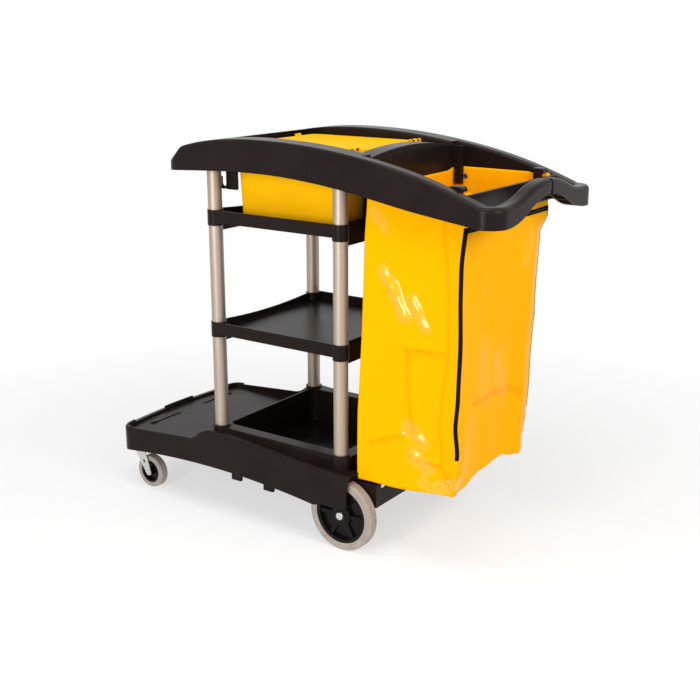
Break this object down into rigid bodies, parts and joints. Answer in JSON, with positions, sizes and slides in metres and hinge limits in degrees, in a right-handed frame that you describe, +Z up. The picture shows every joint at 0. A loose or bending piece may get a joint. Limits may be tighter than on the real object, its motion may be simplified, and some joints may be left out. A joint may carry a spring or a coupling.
{
  "type": "utility cart",
  "caption": "Cleaning cart with a moulded base, shelves on posts, a hood with a push handle, a lidded bin and a hanging waste bag, on fixed rear wheels and swivel casters.",
  "frame": {"origin": "floor level, on the centre plane, midway between the front of the deck and the back of the handle", "axes": "+X towards the push handle, +Y to the right of the person who pushes, +Z up"},
  "size_m": [1.3049, 0.552, 1.103],
  "materials": {
    "black_plastic": "satin moulded",
    "hub_plastic": "satin moulded",
    "grey_tyre": "matt, non-marking",
    "plated_steel": "zinc plated",
    "bush_plastic": "plain",
    "post_aluminium": "satin anodised",
    "yellow_plastic": "satin moulded",
    "yellow_vinyl": "glossy, creased",
    "zip_fabric": "woven tape",
    "zip_metal": "dark plated"
  },
  "bodies": {
    "cart": {"base_deck": "black_plastic", "upper_shelf": "black_plastic", "mid_shelf": "black_plastic", "hood_front": "black_plastic", "left_side_panel": "black_plastic", "right_side_panel": "black_plastic", "left_rear_rail": "black_plastic", "right_rear_rail": "black_plastic", "mid_crosspiece": "black_plastic", "rear_crosspiece": "black_plastic", "handle_clip": "black_plastic", "divider_panel": "black_plastic", "tool_hooks": "black_plastic", "front_bag_hooks": "black_plastic", "rear_bag_hooks": "black_plastic", "rear_axle": "plated_steel", "axle_washers": "plated_steel", "axle_caps": "plated_steel", "left_caster_plate": "plated_steel", "right_caster_plate": "plated_steel", "left_caster_race": "plated_steel", "right_caster_race": "plated_steel", "left_caster_kingpin": "plated_steel", "right_caster_kingpin": "plated_steel", "caster_bolts": "plated_steel", "left_front_post": "post_aluminium", "right_front_post": "post_aluminium", "left_rear_post": "post_aluminium", "right_rear_post": "post_aluminium", "waste_bag": "yellow_vinyl", "zip_tape": "zip_fabric"},
    "left_wheel": {"left_wheel_hub": "hub_plastic", "left_wheel_tyre": "grey_tyre", "left_wheel_bush": "bush_plastic"},
    "right_wheel": {"right_wheel_hub": "hub_plastic", "right_wheel_tyre": "grey_tyre", "right_wheel_bush": "bush_plastic"},
    "left_caster": {"left_caster_fork": "plated_steel", "left_caster_axle": "plated_steel"},
    "right_caster": {"right_caster_fork": "plated_steel", "right_caster_axle": "plated_steel"},
    "left_caster_wheel": {"left_caster_hub": "hub_plastic", "left_caster_tyre": "grey_tyre", "left_caster_bush": "bush_plastic"},
    "right_caster_wheel": {"right_caster_hub": "hub_plastic", "right_caster_tyre": "grey_tyre", "right_caster_bush": "bush_plastic"},
    "bin": {"bin_tub": "yellow_plastic", "lid_hinge_pins": "black_plastic"},
    "lid": {"bin_lid": "yellow_plastic"},
    "left_slider": {"left_zip_slider": "zip_metal"},
    "right_slider": {"right_zip_slider": "zip_metal"}
  },
  "joints": [
    {"name": "left_wheel_spin", "type": "hinge", "parent": "cart", "child": "left_wheel", "pos_m": [0.1965, -0.246, 0.1016], "axis": [0, 1, 0], "continuous": true},
    {"name": "left_caster_swivel", "type": "hinge", "parent": "cart", "child": "left_caster", "pos_m": [-0.5805, -0.228, 0.12], "axis": [0, 0, 1], "continuous": true},
    {"name": "left_caster_roll", "type": "hinge", "parent": "left_caster", "child": "left_caster_wheel", "pos_m": [-0.5475, -0.228, 0.051], "axis": [0, 1, 0], "continuous": true},
    {"name": "left_zip_slide", "type": "slide", "parent": "cart", "child": "left_slider", "axis": [0, -1, 0], "range_m": [0, 0.19]},
    {"name": "right_wheel_spin", "type": "hinge", "parent": "cart", "child": "right_wheel", "pos_m": [0.1965, 0.246, 0.1016], "axis": [0, 1, 0], "continuous": true},
    {"name": "right_caster_swivel", "type": "hinge", "parent": "cart", "child": "right_caster", "pos_m": [-0.5805, 0.228, 0.12], "axis": [0, 0, 1], "continuous": true},
    {"name": "right_caster_roll", "type": "hinge", "parent": "right_caster", "child": "right_caster_wheel", "pos_m": [-0.5475, 0.228, 0.051], "axis": [0, 1, 0], "continuous": true},
    {"name": "right_zip_slide", "type": "slide", "parent": "cart", "child": "right_slider", "axis": [0, 1, 0], "range_m": [0, 0.19]},
    {"name": "bin_lift", "type": "slide", "parent": "cart", "child": "bin", "axis": [0, 0, 1], "range_m": [0, 0.2]},
    {"name": "lid_hinge", "type": "hinge", "parent": "bin", "child": "lid", "pos_m": [0.162, 0, 1.0803], "axis": [0, 1, 0], "range_deg": [0, 95]}
  ]
}
